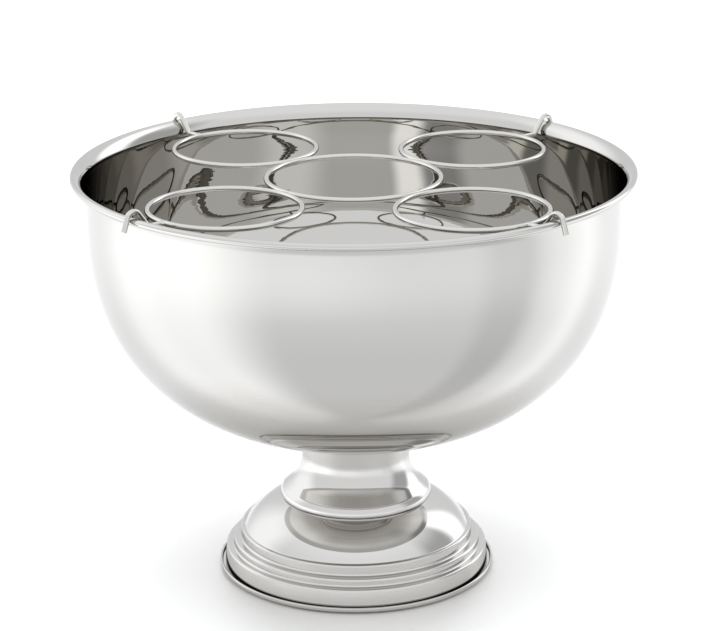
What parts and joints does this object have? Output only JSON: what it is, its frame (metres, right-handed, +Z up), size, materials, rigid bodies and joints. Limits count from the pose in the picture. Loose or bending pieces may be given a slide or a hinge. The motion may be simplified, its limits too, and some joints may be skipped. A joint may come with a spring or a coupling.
{
  "type": "punch bowl",
  "caption": "Round footed punch bowl in mirror-polished stainless steel with a rolled rim, and a lift-out wire insert that hangs on the rim and holds bottles upright.",
  "frame": {"origin": "on the bowl's axis, at the surface that it stands on", "axes": "+Z up along the bowl's axis; each outer bottle ring stands on a diagonal between the X and Y axes"},
  "size_m": [0.4, 0.4, 0.306],
  "materials": {
    "mirror_steel": "mirror-polished stainless steel",
    "wire_steel": "electropolished stainless steel wire",
    "fixing_steel": "zinc-plated steel",
    "pad_rubber": "matt black rubber"
  },
  "bodies": {
    "stand": {"pad_ring": "pad_rubber", "base_pan": "mirror_steel", "foot": "mirror_steel", "stem_collar": "mirror_steel", "bowl": "mirror_steel", "bowl_boss": "fixing_steel", "tie_rod": "fixing_steel", "flat_washer": "fixing_steel", "lock_washer": "fixing_steel", "hex_nut": "fixing_steel"},
    "insert": {"center_ring": "wire_steel", "outer_ring_back_right": "wire_steel", "rim_hook_back_right": "wire_steel", "outer_ring_back_left": "wire_steel", "rim_hook_back_left": "wire_steel", "outer_ring_front_left": "wire_steel", "rim_hook_front_left": "wire_steel", "outer_ring_front_right": "wire_steel", "rim_hook_front_right": "wire_steel"}
  },
  "joints": [
    {"name": "insert_lift", "type": "slide", "parent": "stand", "child": "insert", "axis": [0, 0, 1], "range_m": [0, 0.15]}
  ]
}
